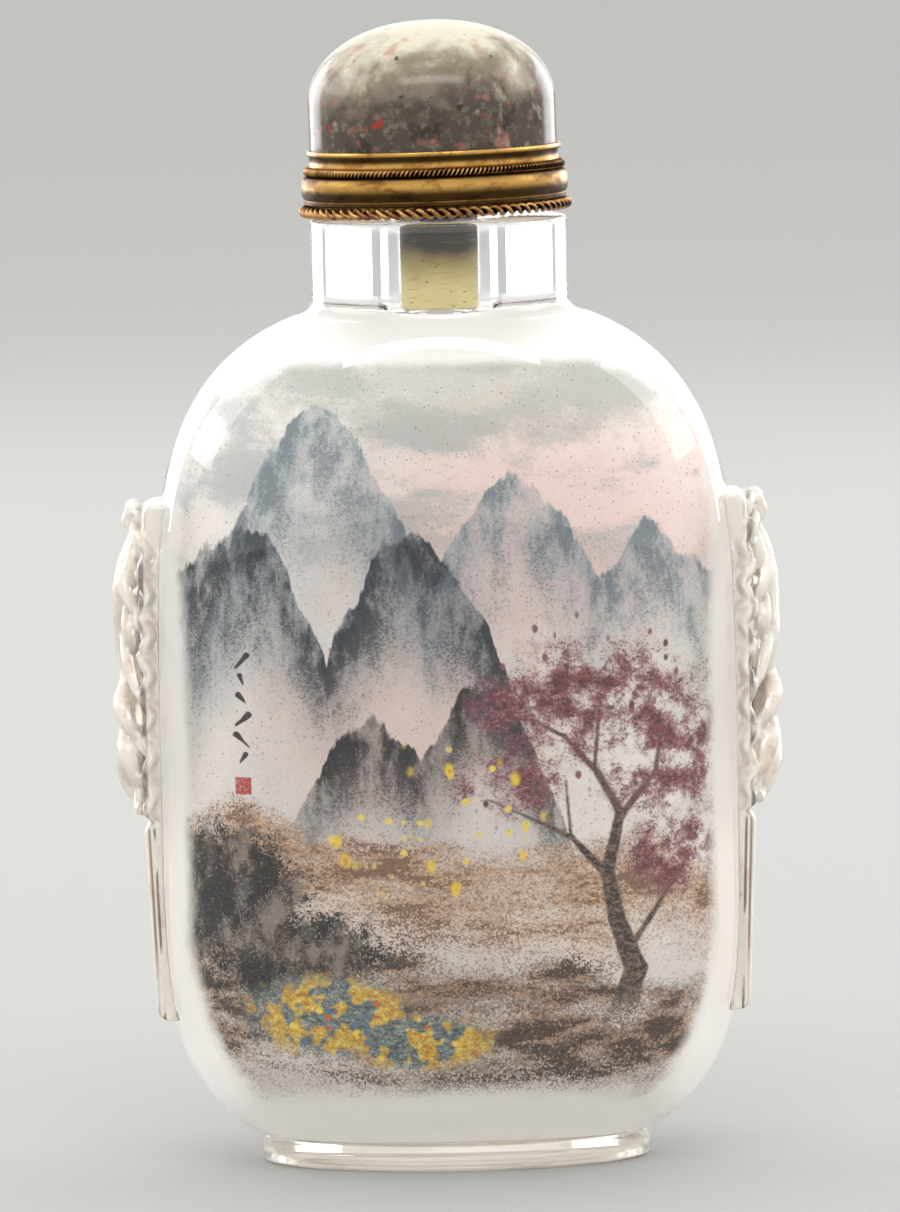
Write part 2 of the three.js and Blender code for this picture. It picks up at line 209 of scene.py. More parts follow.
def foot_rings():
    """Recessed underside, foot ring with softened edges, and the crease under the belly."""
    inner, edge = FOOT_RING_WIDTH, FOOT_EDGE
    profile = [(inner + RECESS_FLAT, FOOT_RECESS)]
    profile += bend((inner + RECESS_CORNER, FOOT_RECESS), (inner + 0.1, FOOT_RECESS), (inner, 0.35), 6)
    profile += bend((inner, 0.25), (inner - 0.05, 0), (inner - edge, 0), 6)
    profile += bend((edge, 0), (0, 0), (0, edge), 8)
    profile += bend((0, FOOT_HEIGHT - edge), (0, FOOT_HEIGHT), (edge * 0.7, FOOT_HEIGHT), 8)
    return [(z, FOOT_HALF_WIDTH - inset, FOOT_HALF_DEPTH - inset, 2) for inset, z in profile]


def body_rings(count=64):
    lowest = WAIST_Z - FOOT_HEIGHT - FOOT_CREASE
    highest = NECK_FOOT_Z - WAIST_Z
    rings = []
    for i in range(-count // 2, count // 2 + 1):
        reach = lowest if i < 0 else highest
        rings.append(body_ring(WAIST_Z + reach * math.sin(i / (count / 2) * math.pi / 2)))
    return rings


def neck_rings():
    """From the shoulder's end up the neck, over the rim and down the bore."""
    start = body_ring(NECK_FOOT_Z)
    rings = []
    for along in np.linspace(0, 1, 11)[1:]:
        keep = (1 - along) ** 2
        z = NECK_FOOT_Z + NECK_FILLET_PULL * 2 * along * (1 - along) + NECK_FILLET * along ** 2
        half_x = NECK_RADIUS + (start[1] - NECK_RADIUS) * keep
        half_y = NECK_RADIUS + (start[2] - NECK_RADIUS) * keep
        rings.append((z, half_x, half_y, 2 + (start[3] - 2) * keep))
    below_rim = NECK_TOP_Z - 1
    profile = [(NECK_RADIUS, z) for z in np.linspace(NECK_FOOT_Z + NECK_FILLET + 0.5, below_rim, 8)]
    profile += bend((NECK_RADIUS, NECK_TOP_Z - RIM_EDGE), (NECK_RADIUS, NECK_TOP_Z),
                    (NECK_RADIUS - RIM_EDGE, NECK_TOP_Z), 6)
    profile += bend((BORE_RADIUS + RIM_EDGE, NECK_TOP_Z), (BORE_RADIUS, NECK_TOP_Z),
                    (BORE_RADIUS, NECK_TOP_Z - RIM_EDGE), 6)
    profile += [(BORE_RADIUS, z) for z in np.linspace(below_rim, WAIST_Z + CAVITY_TOP_REACH + 1, 8)]
    return rings + [(z, radius, radius, 2) for radius, z in profile]


def cavity_ring(rise, clearance=0):
    """Outline of the cavity at a height above the waist, widened into the crystal by clearance."""
    if rise > 0:
        share = taper(rise, CAVITY_TOP_REACH, CAVITY_TOP_RISE, CAVITY_TOP_POWER)
    else:
        share = taper(-rise, CAVITY_FLOOR_REACH, CAVITY_FLOOR_RISE, CAVITY_FLOOR_POWER)
    half_x = max(CAVITY_HALF_WIDTH * share, BORE_RADIUS) + clearance
    half_y = max(CAVITY_HALF_DEPTH * share, BORE_RADIUS) + clearance
    return (WAIST_Z + rise, half_x, half_y, 2 + (BODY_PLAN_POWER - 2) * share)


def cavity_rises(count):
    """Heights from the cavity's top to its floor, closer together at both ends."""
    turns = [i / count * math.pi / 2 for i in range(count + 1)]
    up = [CAVITY_TOP_REACH * math.sin(turn) for turn in turns[:0:-1]]
    down = [-CAVITY_FLOOR_REACH * math.sin(turn * 0.97) for turn in turns]
    return up + down


def vessel(segments=160):
    rings = foot_rings() + body_rings() + neck_rings()
    rings += [cavity_ring(rise) for rise in cavity_rises(26)]
    return mesh_object("vessel", *skin(stacked(rings, segments)))


# ---------------------------------------------------------------- carved sides

def smooth_path(stations, per_span=7):
    """Points on a Catmull-Rom curve through the stations; every column is carried along."""
    nodes = np.array(stations, float)
    nodes = np.vstack([2 * nodes[0] - nodes[1], nodes, 2 * nodes[-1] - nodes[-2]])
    path = []
    for a, b, c, d in zip(nodes, nodes[1:], nodes[2:], nodes[3:]):
        for t in np.arange(per_span) / per_span:
            path.append(0.5 * (2 * b + (c - a) * t + (2 * a - 5 * b + 4 * c - d) * t ** 2
                               + (3 * b - a - 3 * c + d) * t ** 3))
    path.append(nodes[-2])
    return np.array(path)


def limb(stations, sides=14, flat=1.0):
    """Points and faces of a round-ended limb along stations of (across, up, out, radius).

    flat is its thickness outwards over its width across the panel.
    """
    path = smooth_path(stations)
    centres = path[:, [2, 0, 1]]
    radii = np.maximum(path[:, 3], 0.05)
    tangents = np.gradient(centres, axis=0)
    tangents /= np.linalg.norm(tangents, axis=1)[:, None]
    outward = np.array([1.0, 0, 0])
    caps = np.sin(np.linspace(0.12, 1, 4) * math.pi / 2)
    loops = []

    def add_loop(centre, tangent, radius):
        across = np.cross(tangent, outward)
        across /= np.linalg.norm(across) + 1e-9
        lift = np.cross(across, tangent)
        turns = np.arange(sides) * 2 * math.pi / sides
        loops.append(centre + radius * (np.outer(np.cos(turns), across)
                                        + flat * np.outer(np.sin(turns), lift)))

    def add_cap_loop(end, cap, sign):
        reach = sign * radii[end] * math.sqrt(1 - cap ** 2)
        add_loop(centres[end] + tangents[end] * reach, tangents[end], radii[end] * cap)

    for cap in caps[:-1]:
        add_cap_loop(0, cap, -1)
    for centre, tangent, radius in zip(centres, tangents, radii):
        add_loop(centre, tangent, radius)
    for cap in caps[:-1][::-1]:
        add_cap_loop(-1, cap, 1)
    return skin(loops)


def panel():
    """Raised strip with rounded ends and edges; its lower third is a plain bar."""
    edge = bend((PANEL_BOTTOM_Z, PANEL_FOOT_EDGE_X), (PANEL_BOTTOM_Z, PANEL_FOOT_X),
                (PANEL_BOTTOM_Z + PANEL_FOOT_ROUND, PANEL_FOOT_X), 4)
    edge += [(20, (PANEL_FOOT_X + PANEL_BAR_X) / 2), (PANEL_BAR_TOP_Z, PANEL_BAR_X),
             (PANEL_BAR_TOP_Z + PANEL_BAR_STEP, PANEL_GROUND_X), (38, PANEL_GROUND_X)]
    edge += bend((PANEL_TOP_Z - PANEL_TOP_ROUND, PANEL_GROUND_X), (PANEL_TOP_Z, PANEL_GROUND_X),
                 (PANEL_TOP_Z, PANEL_TOP_EDGE_X), 4)
    rows = []
    for z, face in edge:
        middle, half = (PANEL_ROOT_X + face) / 2, (face - PANEL_ROOT_X) / 2
        flat = outline(half, PANEL_HALF_WIDTH, PANEL_PLAN_POWER, PANEL_SEGMENTS) + np.array([middle, 0])
        rows.append(np.column_stack([flat, np.full(PANEL_SEGMENTS, z)]))
    return skin(rows)


def mirrored(stations):
    """The same limb on the other side of the panel's middle."""
    return [(-across, up, out, radius) for across, up, out, radius in stations]


def curl(across, up, out, reach, hand, thick):
    """A small scroll that winds inwards."""
    stations = []
    for i in range(8):
        turn = i * 0.75
        radius = reach * (1 - 0.11 * i)
        stations.append((across + hand * radius * math.cos(turn), up + radius * math.sin(turn), out,
                         thick * (1 - 0.05 * i)))
    return stations


def dragon():
    """Limbs of a dragon that climbs the panel among cloud scrolls, each with its flatness.

    Stations are (across, up, out, radius). The legs, mane and scrolls of one side are mirrored.
    """
    body = [
        (0.0, 50.1, 23.2, 0.75), (0.0, 48.6, 23.15, 0.85), (0.6, 46.6, 23.85, 1.1),
        (0.9, 44.2, 24.35, 1.05), (0.2, 42.0, 24.45, 1.0), (-0.8, 39.8, 24.35, 1.05),
        (-0.7, 37.4, 24.05, 1.0), (0.3, 35.4, 24.4, 1.15), (0.9, 33.6, 24.15, 1.05),
        (0.6, 31.8, 24.4, 1.05), (-0.5, 29.9, 24.3, 1.1), (-0.8, 28.3, 23.75, 0.95),
        (0.2, 27.3, 23.25, 0.6),
    ]
    spine = [(across, up, out + 0.85 * radius, 0.2 * radius) for across, up, out, radius in body[2:12]]
    head = [
        [(-0.8, 50.3, 23.45, 0.62), (0.0, 50.45, 23.7, 0.7), (0.8, 50.3, 23.45, 0.62)],
        [(0.0, 50.2, 23.7, 0.6), (0.0, 49.5, 24.15, 0.55), (0.0, 49.0, 24.1, 0.42)],
        [(-0.5, 48.9, 23.7, 0.35), (0.0, 48.75, 23.95, 0.4), (0.5, 48.9, 23.7, 0.35)],
    ]
    parts = [(body, 0.95), (spine, 1), *((limb_stations, 1) for limb_stations in head)]
    sides = [
        [(0.9, 50.35, 23.4, 0.3), (1.7, 50.5, 23.35, 0.42), (2.6, 50.1, 23.25, 0.4), (3.0, 49.3, 23.2, 0.2)],
        [(0.8, 49.3, 23.5, 0.3), (1.9, 48.9, 23.6, 0.45), (2.8, 48.0, 23.4, 0.4), (3.3, 46.9, 23.2, 0.2)],
        [(1.1, 47.9, 23.6, 0.3), (2.3, 46.9, 23.8, 0.55), (2.5, 45.7, 23.8, 0.6), (2.0, 44.7, 23.7, 0.3)],
        [(1.0, 46.4, 24.3, 0.65), (2.6, 45.0, 24.5, 0.6), (3.3, 43.6, 24.1, 0.5), (3.3, 42.6, 23.4, 0.5)],
        [(1.3, 43.2, 24.3, 0.3), (2.7, 41.9, 24.3, 0.5), (3.0, 40.7, 24.1, 0.5), (2.2, 39.8, 23.9, 0.25)],
        [(0.6, 40.6, 24.6, 0.4), (2.4, 38.8, 24.3, 0.5), (3.4, 37.0, 23.8, 0.4), (3.4, 36.0, 23.3, 0.3)],
        [(0.8, 36.4, 24.6, 0.75), (2.5, 35.6, 24.8, 0.75), (3.3, 34.3, 24.5, 0.55), (3.2, 33.2, 23.6, 0.55)],
        [(1.2, 33.2, 24.5, 0.6), (2.8, 32.1, 24.5, 0.75), (3.2, 30.3, 24.0, 0.6), (3.0, 29.3, 23.4, 0.5)],
        [(0.2, 28.6, 23.6, 0.6), (1.7, 27.6, 23.6, 0.55), (2.9, 27.7, 23.5, 0.45), (3.3, 28.6, 23.3, 0.25)],
        curl(2.6, 38.6, 23.2, 0.75, 1, 0.28),
        curl(2.7, 31.2, 23.2, 0.7, -1, 0.26),
    ]
    foot_across = 3.25
    for foot_up in (42.4, 33.0, 29.1):
        for spread in (-0.55, 0, 0.55):
            sides.append([
                (foot_across + spread * 0.5, foot_up, 23.55, 0.3),
                (foot_across + spread, foot_up - 0.7, 23.45, 0.27),
                (foot_across + spread * 1.2, foot_up - 1.2, 23.1, 0.16),
            ])
    for up in np.arange(28.4, 50, 3.1):
        sides.append([
            (4.15, up - 1.5, 22.35, 0.3), (4.3, up - 0.8, 23.0, 0.42), (4.3, up + 0.2, 22.6, 0.45),
            (4.25, up + 1.1, 23.05, 0.4), (4.0, up + 1.8, 23.4, 0.3),
        ])
    for stations in sides:
        parts += [(stations, 1), (mirrored(stations), 1)]
    return parts


def join_meshes(name, meshes):
    points, faces = [], []
    for more_points, more_faces in meshes:
        start = len(points)
        points.extend(more_points)
        faces.extend(tuple(start + i for i in face) for face in more_faces)
    return mesh_object(name, points, faces)


def apply_modifier(piece, kind, **settings):
    modifier = piece.modifiers.new(kind.lower(), kind)
    for key, value in settings.items():
        setattr(modifier, key, value)
    with bpy.context.temp_override(object=piece, active_object=piece):
        bpy.ops.object.modifier_apply(modifier=modifier.name)


def carved_side():
    """Panel and dragon fused and softened as one carving, for the +X side."""
    parts = [panel()] + [limb(stations, flat=flat) for stations, flat in dragon()]
    side = join_meshes("carved_side", parts)
    apply_modifier(side, "REMESH", mode="VOXEL", voxel_size=0.18 * MM, use_smooth_shade=True)
    apply_modifier(side, "SMOOTH", factor=0.5, iterations=4)
    return side


def union(piece, other):
    apply_modifier(piece, "BOOLEAN", operation="UNION", solver="MANIFOLD", object=other)


def drop_folds(piece):
    """Cuts the faces into triangles and drops pairs that lie on each other along a union's seam."""
    mesh = bmesh.new()
    mesh.from_mesh(piece.data)
    bmesh.ops.triangulate(mesh, faces=mesh.faces)
    alike = {}
    for face in mesh.faces:
        alike.setdefault(frozenset(corner.index for corner in face.verts), []).append(face)
    folded = [face for faces in alike.values() if len(faces) > 1 for face in faces]
    bmesh.ops.delete(mesh, geom=folded, context="FACES")
    mesh.to_mesh(piece.data)
    mesh.free()


def crystal_bottle():
    bottle = vessel()
    bottle.name = "carved_crystal_bottle"
    side = carved_side()
    union(bottle, side)
    side.data.transform(Matrix.Rotation(math.pi, 4, "Z"))
    union(bottle, side)
    bpy.data.objects.remove(side)
    drop_folds(bottle)
    bottle.data.shade_smooth()
    return bottle


def outside_body(point):
    """Whether a point in millimetres stands out from the body's wall at its height."""
    _, half_x, half_y, power = body_ring(point.z)
    return (abs(point.x) / half_x) ** power + (abs(point.y) / half_y) ** power > 1.001


def finish_carving(bottle, carving_material, foot_material):
    """Gives the panel and dragon on both sides, and the foot ring, their own finish."""
    bottle.data.materials.append(carving_material)
    bottle.data.materials.append(foot_material)
    for face in bottle.data.polygons:
        centre = face.center / MM
        at_panel = PANEL_BOTTOM_Z - CARVING_BELOW < centre.z < PANEL_TOP_Z + CARVING_ABOVE
        if centre.z < FOOT_HEIGHT:
            face.material_index = 2
        elif at_panel and outside_body(centre):
            face.material_index = 1


# ---------------------------------------------------------------- painted film

def painted_lining(segments=160):
    """Thin closed film just inside the crystal, over the whole wall of the cavity below the bore."""
    rises = [rise for rise in cavity_rises(40) if cavity_ring(rise)[1] > BORE_RADIUS + 0.3]
    rings = [cavity_ring(rise, FILM_OUTER) for rise in rises[::-1]]
    rings += [cavity_ring(rise, FILM_INNER) for rise in rises]
    loops = stacked(rings, segments)
    for loop in loops[:len(rises)]:
        loop[:, 2] -= FILM_FLOOR_SINK * (loop[:, 2] < WAIST_Z - CAVITY_FLOOR_REACH * 0.9)
    return mesh_object("painted_lining", *skin(loops))


# ---------------------------------------------------------------- stopper

def seated(piece):
    """Leans a stopper piece with the rest of the stopper."""
    seat = Vector((0, 0, SEAT_Z * MM))
    lean = Matrix.Rotation(-STOPPER_LEAN, 4, "Y")
    shift = Matrix.Translation(seat + Vector((STOPPER_SHIFT * MM, 0, 0)))
    piece.data.transform(shift @ lean @ Matrix.Translation(-seat))
    return piece


def stone_cap(segments=160):
    profile = [(DOME_RADIUS - 1.2, LIP_TOP_Z - 1.2), (DOME_RADIUS - 0.15, LIP_TOP_Z - 1.2),
               (DOME_RADIUS - 0.05, LIP_TOP_Z - 0.3)]
    profile += [(DOME_RADIUS, z) for z in np.linspace(LIP_TOP_Z + 0.1, DOME_SPRING_Z, 8)]
    for turn in np.linspace(0, math.pi / 2, 40)[1:-1]:
        lift = (DOME_TOP_Z - DOME_SPRING_Z) * math.sin(turn)
        profile.append((DOME_RADIUS * math.cos(turn) ** 0.92, DOME_SPRING_Z + lift))
    return mesh_object("stone_cap", *skin(turned(profile, segments)))


def brass_collar(segments=160):
    """Cup under the stone: lip, upper band, seat of the fine wire, bulging band and flange."""
    root, top = BULGE_ROOT_RADIUS, LIP_TOP_Z
    profile = [(COLLAR_FAN_RADIUS, COLLAR_FOOT_Z), (9.35, COLLAR_FOOT_Z), (9.5, 72.85), (9.55, 73.3)]
    profile += bend((9.75, 73.42), (10.0, 73.42), (10.0, 73.55), 4)
    profile += bend((9.98, 73.62), (9.85, 73.7), (root, 73.8), 4)
    for turn in np.linspace(0, math.pi, 18):
        swell = (BULGE_RADIUS - root) * math.sin(turn) ** 0.7
        profile.append((root + swell, BULGE_BOTTOM_Z + BULGE_HEIGHT / 2 * (1 - math.cos(turn))))
    profile += [(9.62, 75.62), (9.45, 75.7), (9.45, 76.2), (9.52, 76.3)]
    profile += bend((9.52, 76.4), (9.42, 76.9), (9.5, 77.05), 6)
    profile += bend((9.52, 77.1), (9.56, 77.16), (LIP_RADIUS, 77.18), 3)
    profile += bend((LIP_RADIUS + 0.02, 77.3), (LIP_RADIUS, top), (LIP_RADIUS - 0.12, top), 5)
    profile += [(DOME_RADIUS + 0.03, top - 0.02), (DOME_RADIUS - 0.02, top - 0.3),
                (DOME_RADIUS - 0.12, COLLAR_FLOOR_Z), (COLLAR_FAN_RADIUS, COLLAR_FLOOR_Z)]
    return mesh_object("brass_collar", *skin(turned(profile, segments)))


def twisted_wire(name, ring, z, radius, crossings, hand, steps_per_turn=14, sides=8):
    """Two wires twisted together and bent into a ring; hand says which way they twist."""
    turns = crossings // 2
    steps = turns * steps_per_turn
    upward = np.array([0, 0, 1.0])
    half = radius / 2
    meshes = []
    for strand in range(2):
        loops = []
        for step in range(steps):
            around = 2 * math.pi * step / steps
            twist = hand * turns * around + strand * math.pi
            outward = np.array([math.cos(around), math.sin(around), 0])
            centre = outward * (ring + half * math.cos(twist)) + upward * (z + half * math.sin(twist))
            angles = twist + np.arange(sides) * 2 * math.pi / sides
            loops.append(centre + half * 1.12 * (np.outer(np.cos(angles), outward)
                                                 + np.outer(np.sin(angles), upward)))
        points = [p for loop in loops for p in loop]
        faces = []
        for step in range(steps):
            start, after = step * sides, (step + 1) % steps * sides
            for i in range(sides):
                j = (i + 1) % sides
                faces.append((start + i, after + i, after + j, start + j))
        meshes.append((points, faces))
    return join_meshes(name, meshes)


def cork():
    tip_radius, wall_start = CORK_RADIUS - 0.05, CORK_TIP_Z + 0.7
    profile = [(1.2, CORK_TIP_Z)]
    profile += bend((CORK_RADIUS - 0.5, CORK_TIP_Z), (tip_radius, CORK_TIP_Z),
                    (tip_radius, CORK_TIP_Z + 0.5), 6)
    profile += zip(np.linspace(tip_radius, CORK_RADIUS, 11), np.linspace(wall_start, CORK_TOP_Z, 11))
    return mesh_object("cork_stopper", *skin(turned(profile, 96)))


# ---------------------------------------------------------------- material building

class Field:
    """A number or colour worked out by shader nodes, with plain arithmetic between fields."""

    def __init__(self, tree, socket):
        self.tree = tree
        self.socket = socket

    def math(self, operation, *others):
        node = self.tree.nodes.new("ShaderNodeMath")
        node.operation = operation
        for socket, value in zip(node.inputs, (self, *others)):
            feed(self.tree, socket, value)
        return Field(self.tree, node.outputs[0])

    def __add__(self, other):
        return self.math("ADD", other)

    def __sub__(self, other):
        return self.math("SUBTRACT", other)

    def __rsub__(self, other):
        return (self * -1).math("ADD", other)

    def __mul__(self, other):
        return self.math("MULTIPLY", other)

    def __truediv__(self, other):
        return self.math("DIVIDE", other)

    def __pow__(self, other):
        return self.math("POWER", other)

    __radd__ = __add__
    __rmul__ = __mul__

    def size(self):
        return self.math("ABSOLUTE")

    def most(self, other):
        return self.math("MAXIMUM", other)

    def least(self, other):
        return self.math("MINIMUM", other)


def highest(fields):
    """The largest of several fields everywhere."""
    top = fields[0]
    for field in fields[1:]:
        top = top.most(field)
    return top


def feed(tree, socket, value):
    """Links a field to a socket, or sets the socket to a plain number or colour."""
    if isinstance(value, Field):
        tree.links.new(value.socket, socket)
    elif isinstance(value, (tuple, list)) and len(value) == 3 and socket.type == "RGBA":
        socket.default_value = (*value, 1)
    else:
        socket.default_value = value


PATTERN_STEP = (17.3, 5.1, 9.7)  # how far each seed moves a pattern


class Shader:
    """A material whose coordinates are millimetres in the part's own frame."""

    def __init__(self, name):
        self.material = bpy.data.materials.new(name)
        self.material.use_nodes = True
        self.tree = self.material.node_tree
        self.principled = self.tree.nodes["Principled BSDF"]
        coordinates = self.tree.nodes.new("ShaderNodeTexCoord")
        scale = self.tree.nodes.new("ShaderNodeVectorMath")
        scale.operation = "SCALE"
        scale.inputs["Scale"].default_value = 1 / MM
        self.tree.links.new(coordinates.outputs["Object"], scale.inputs[0])
        self.place = scale.outputs[0]
        parts = self.tree.nodes.new("ShaderNodeSeparateXYZ")
        self.tree.links.new(self.place, parts.inputs[0])
        self.x, self.y, self.z = (Field(self.tree, socket) for socket in parts.outputs)

    def moved(self, stretch, seed):
        """The coordinates stretched and moved to another part of a pattern."""
        node = self.tree.nodes.new("ShaderNodeMapping")
        node.inputs["Scale"].default_value = stretch
        node.inputs["Location"].default_value = [seed * step for step in PATTERN_STEP]
        self.tree.links.new(self.place, node.inputs["Vector"])
        return node.outputs[0]

    def noise(self, scale, detail=2.0, roughness=0.5, stretch=(1, 1, 1), seed=0, distortion=0.0):
        node = self.tree.nodes.new("ShaderNodeTexNoise")
        node.inputs["Scale"].default_value = scale
        node.inputs["Detail"].default_value = detail
        node.inputs["Roughness"].default_value = roughness
        node.inputs["Distortion"].default_value = distortion
        self.tree.links.new(self.moved(stretch, seed), node.inputs["Vector"])
        return Field(self.tree, node.outputs[0])

    def cells(self, scale, stretch=(1, 1, 1), seed=0):
        """Distance to the nearest scattered point, and one random number for each point."""
        node = self.tree.nodes.new("ShaderNodeTexVoronoi")
        node.inputs["Scale"].default_value = scale
        self.tree.links.new(self.moved(stretch, seed), node.inputs["Vector"])
        parts = self.tree.nodes.new("ShaderNodeSeparateColor")
        self.tree.links.new(node.outputs["Color"], parts.inputs[0])
        return Field(self.tree, node.outputs["Distance"]), Field(self.tree, parts.outputs[0])

    def ramp(self, value, low, high):
        """0 where value is at low, 1 at high, smooth between; low may be above high."""
        node = self.tree.nodes.new("ShaderNodeMapRange")
        node.interpolation_type = "SMOOTHSTEP"
        feed(self.tree, node.inputs["Value"], value)
        feed(self.tree, node.inputs["From Min"], low)
        feed(self.tree, node.inputs["From Max"], high)
        return Field(self.tree, node.outputs[0])

    def mix(self, base, top, share):
        node = self.tree.nodes.new("ShaderNodeMix")
        node.data_type = "RGBA"
        feed(self.tree, node.inputs[0], share)
        feed(self.tree, node.inputs[6], base)
        feed(self.tree, node.inputs[7], top)
        return Field(self.tree, node.outputs[2])

    def bump(self, height, depth_mm, strength=1.0):
        node = self.tree.nodes.new("ShaderNodeBump")
        node.inputs["Strength"].default_value = strength
        node.inputs["Distance"].default_value = depth_mm * MM
        feed(self.tree, node.inputs["Height"], height)
        self.tree.links.new(node.outputs[0], self.principled.inputs["Normal"])

    def set(self, **values):
        """Feeds the shader's sockets; a keyword is the socket's name with underscores."""
        for name, value in values.items():
            feed(self.tree, self.principled.inputs[name.replace("_", " ")], value)


def tone(code):
    """Linear colour of a display colour such as #a08060."""
    parts = [int(code[i:i + 2], 16) / 255 for i in (1, 3, 5)]
    return tuple(p / 12.92 if p <= 0.04045 else ((p + 0.055) / 1.055) ** 2.4 for p in parts)


CRYSTAL_IOR = 1.544


def crystal_material():
    """Clear rock crystal with a hand-polished surface."""
    s = Shader("rock_crystal")
    s.set(Base_Color=(1, 1, 1), Roughness=0, IOR=CRYSTAL_IOR, Transmission_Weight=1)
    s.bump(s.noise(0.18, detail=1.0, seed=3), 0.02, 0.35)
    return s.material


def foot_crystal_material():
    """The foot ring, polished, with painted reflections: the white of the painted wall seen inside it, and
    darker streaks.
    """
    s = Shader("foot_crystal")
    streak = s.noise(0.3, detail=4, roughness=0.6, stretch=(0.3, 1, 4), seed=15)
    # painted reflections: cream white from the painted wall, with darker streaks
    body = s.mix(tone("#fffaf2"), tone("#d9cfc0"), s.ramp(streak, 0.5, 0.68))
    s.set(Base_Color=body, Roughness=0.04, IOR=CRYSTAL_IOR, Transmission_Weight=0.62)
    return s.material


def ground_crystal_material():
    """The carving, ground and only half polished, so that light spreads in it."""
    s = Shader("ground_crystal")
    cloud = s.noise(0.5, detail=4, roughness=0.6, seed=2)
    vein = s.noise(0.9, detail=4, roughness=0.6, stretch=(1, 1, 0.5), seed=5)
    body = s.mix(tone("#f6f1e8"), tone("#ead6c9"), s.ramp(cloud, 0.5, 0.68))
    body = s.mix(body, tone("#b9aca6"), s.ramp(vein, 0.6, 0.74) * 0.6)
    out = s.x.size()
    patchy = s.ramp(s.noise(0.45, detail=3, stretch=(1, 1, 0.5), seed=7), 0.44, 0.56)

    # painted shade, in patches, in the ground behind the dragon
    painted_shade = s.ramp(out, 23.7, 23.15) * s.ramp(out, 22.85, PANEL_GROUND_X)
    painted_shade = painted_shade * s.ramp(s.z, PANEL_BAR_TOP_Z, PANEL_BAR_TOP_Z + 1)
    body = s.mix(body, tone("#5d554e"), painted_shade * patchy * 0.85)

    # painted reflections: a dark and a golden streak up the bar, which leans outwards
    off = out - s.z * BAR_LEAN - BAR_STREAK_X
    bar = s.ramp(s.z, PANEL_BAR_TOP_Z + 0.5, PANEL_BAR_TOP_Z)
    dark = s.ramp((off - 0.18).size(), 0.15, 0.05) * patchy
    golden_reflection = s.ramp((off - 0.55).size(), 0.15, 0.04) * s.ramp(s.z, 14, 18)
    body = s.mix(body, tone("#544e49"), bar * dark * 0.9)
    body = s.mix(body, tone("#8e7049"), bar * golden_reflection * 0.8)
    s.set(Base_Color=body, Roughness=0.2, IOR=CRYSTAL_IOR, Transmission_Weight=0.5)
    s.bump(s.noise(1.4, detail=4, seed=6), 0.03, 0.5)
    return s.material


def stopper_height(s):
    """Height along the stopper's own leaning axis."""
    return s.z - s.x * math.sin(STOPPER_LEAN)


def stone_material():
    """Polished mottled stone: pale crown, brown grey body, dark clouds and red flecks."""
    s = Shader("mottled_stone")
    cloud = s.noise(0.24, detail=5, roughness=0.6, seed=1, distortion=0.5)
    patch = s.noise(0.42, detail=4, roughness=0.6, seed=5)
    fine = s.noise(1.2, detail=4, roughness=0.65, seed=2)
    height = stopper_height(s) + (cloud - 0.5) * 9 + (patch - 0.5) * 4
    body = s.mix(tone("#453b33"), tone("#776b59"), s.ramp(height, 80.0, 83.2))
    body = s.mix(body, tone("#bbb6a3"), s.ramp(height, 82.8, 86.0))
    body = s.mix(body, tone("#6f665d"), s.ramp(fine, 0.5, 0.66) * s.ramp(height, 84.5, 81) * 0.7)
    body = s.mix(body, tone("#241f1b"), s.ramp(patch, 0.54, 0.66) * s.ramp(height, 84.5, 81) * 0.85)
    body = s.mix(body, tone("#9c6257"), s.ramp(s.noise(0.5, detail=4, seed=8), 0.57, 0.7) * 0.6)
    body = s.mix(body, tone("#a39b8c"), s.ramp(s.noise(0.7, detail=5, seed=9), 0.6, 0.72) * 0.5)
    for scale, least, colour, seed in (
        (0.7, 0.68, "#8f2d18", 4),
        (1.1, 0.7, "#a8422c", 11),
        (0.9, 0.68, "#2b1a13", 12),
    ):
        fleck = s.ramp(s.noise(scale, detail=3, seed=seed), least, least + 0.07)
        body = s.mix(body, tone(colour), fleck * 0.85)
    s.set(Base_Color=body, Roughness=0.17, IOR=1.54, Specular_IOR_Level=0.32)
    s.bump(fine, 0.01, 0.3)
    return s.material


def gilding_material():
    """Old gilding on brass, worn in patches, with brown painted shade in the hollows, under the lip and
    under the bulge.
    """
    s = Shader("old_gilding")
    worn = s.noise(0.45, detail=5, roughness=0.6, stretch=(1, 1, 2.5), seed=1)
    scratch = s.noise(1.6, detail=3, stretch=(1, 1, 9), seed=2)
    stain = s.noise(1.1, detail=5, seed=3)
    height = stopper_height(s)
    tint = s.mix(tone("#b58d4c"), tone("#7f5829"), s.ramp(worn, 0.46, 0.68))
    tint = s.mix(tint, tone("#3c2a16"), s.ramp(stain, 0.58, 0.74) * 0.45)
    shade_bands = [s.ramp((height - middle).size(), reach * 1.25, reach * 0.2) for middle, reach in COLLAR_SHADE_BANDS]
    painted_shade = highest(shade_bands)
    # painted shade: dark brown in the hollows, under the lip and over the bulge's lower half
    tint = s.mix(tint, tone("#2a1a0c"), painted_shade * 0.93)
    s.set(Base_Color=tint, Metallic=1.0, Roughness=0.22 + s.ramp(worn, 0.35, 0.7) * 0.2 + painted_shade * 0.25)
    s.bump(scratch, 0.02, 0.4)
    return s.material


def wire_material(name, ring, middle, radius, seed):
    """Copper-brown twisted wire, with painted shade, near black, between the strands."""
    s = Shader(name)
    out = (s.x ** 2 + s.y ** 2) ** 0.5 - ring
    lift = stopper_height(s) - middle
    off = (out * out + lift * lift) ** 0.5
    tint = s.mix(tone("#b48c58"), tone("#7b5533"), s.ramp(s.noise(0.9, detail=4, seed=seed), 0.42, 0.62))
    # painted shade where the strands meet, near the wire's middle line
    tint = s.mix(tint, tone("#1c120a"), s.ramp(off, radius * 0.72, radius * 0.45))
    s.set(Base_Color=tint, Metallic=1.0, Roughness=0.36)
    s.bump(s.noise(5, detail=3, seed=seed + 1), 0.02, 0.4)
    return s.material


